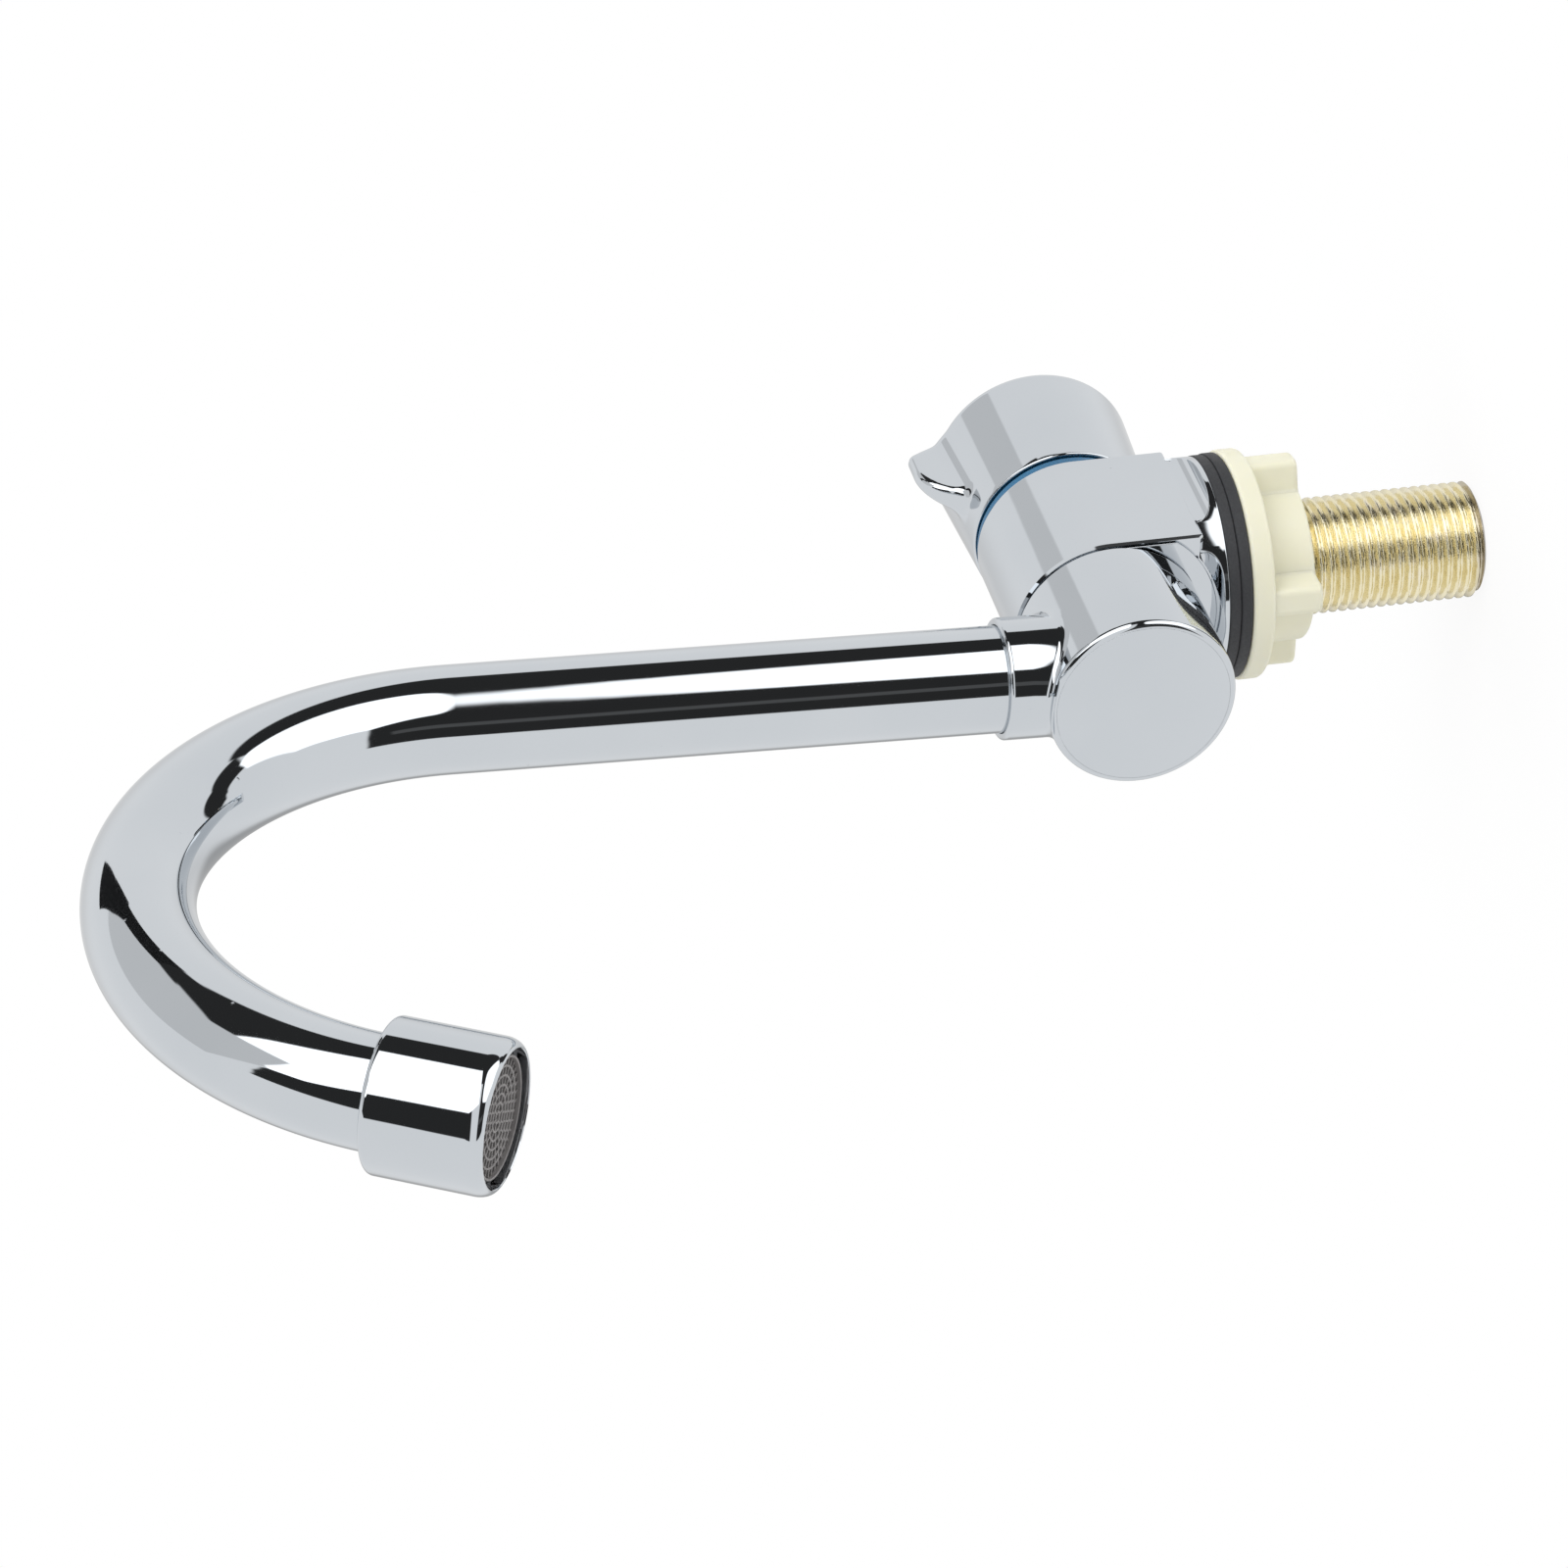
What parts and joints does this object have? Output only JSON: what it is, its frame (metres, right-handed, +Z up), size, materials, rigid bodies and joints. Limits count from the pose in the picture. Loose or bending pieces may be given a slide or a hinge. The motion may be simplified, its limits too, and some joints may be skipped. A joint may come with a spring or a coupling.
{
  "type": "folding tap",
  "caption": "Chromed deck-mounted tap with a hooked spout that folds about its barrel and swivels in a collar, a quarter-turn cold valve and a threaded shank with a back nut.",
  "frame": {"origin": "on the shank axis, at the underside of the lower rubber ring, where the worktop's top face lies", "axes": "+Z up along the shank axis, +X along the barrel from the handle to the spout drum"},
  "size_m": [0.2037, 0.0476, 0.2605],
  "materials": {
    "chrome_body": "polished chrome plate on a cast body",
    "chrome_handle": "polished chrome plate on a cast handle",
    "chrome_spout": "polished chrome plate on drawn and turned metal",
    "black_rubber": "moulded matt black rubber",
    "black_acetal": "moulded black acetal",
    "blue_plastic": "moulded blue plastic",
    "cream_plastic": "moulded cream nylon",
    "zinc_brass": "yellow-passivated zinc over a machined thread",
    "turned_brass": "turned brass",
    "alumina": "lapped alumina ceramic",
    "spring_steel": "bright spring steel",
    "grey_plastic": "moulded grey plastic",
    "steel_mesh": "woven stainless wire"
  },
  "bodies": {
    "tap_body": {"body_casting": "chrome_body", "seat_ring": "black_rubber", "deck_washer": "black_rubber", "inlet_shank": "zinc_brass", "shank_seal": "black_rubber", "cold_ring": "blue_plastic", "valve_housing": "turned_brass", "housing_seal": "black_rubber", "inlet_seal": "black_rubber", "fixed_disc": "alumina", "pivot_stem": "turned_brass", "stem_seals": "black_rubber", "thrust_washer": "black_acetal", "spring_washer": "spring_steel", "pivot_snap_ring": "spring_steel"},
    "back_nut": {"back_nut": "cream_plastic"},
    "handle": {"handle_shell": "chrome_handle", "handle_cap": "chrome_handle", "handle_screw": "spring_steel", "spindle": "turned_brass", "spindle_seal": "black_rubber", "spindle_snap_ring": "spring_steel", "moving_disc": "alumina"},
    "spout_hub": {"spout_hub": "chrome_body", "end_cap": "chrome_body"},
    "spout": {"spout_ferrule": "turned_brass", "spout_seals": "black_rubber", "spout_snap_ring": "spring_steel", "spout_tube": "chrome_spout", "outlet_nipple": "turned_brass", "aerator_shell": "chrome_spout", "aerator_washer": "black_rubber", "aerator_insert": "grey_plastic", "aerator_screen": "steel_mesh"}
  },
  "joints": [
    {"name": "handle_turn", "type": "hinge", "parent": "tap_body", "child": "handle", "pos_m": [-0.029, 0, 0.0252], "axis": [-1, 0, 0], "range_deg": [0, 90]},
    {"name": "spout_fold", "type": "hinge", "parent": "tap_body", "child": "spout_hub", "pos_m": [0.0292, 0, 0.0252], "axis": [1, 0, 0], "range_deg": [-87.5, 92.5]},
    {"name": "spout_swivel", "type": "hinge", "parent": "spout_hub", "child": "spout", "pos_m": [0.0292, 0, 0.0252], "axis": [0, 0.0436, 0.999], "continuous": true},
    {"name": "back_nut_travel", "type": "slide", "parent": "tap_body", "child": "back_nut", "axis": [0, 0, -1], "range_m": [0, 0.03]}
  ]
}
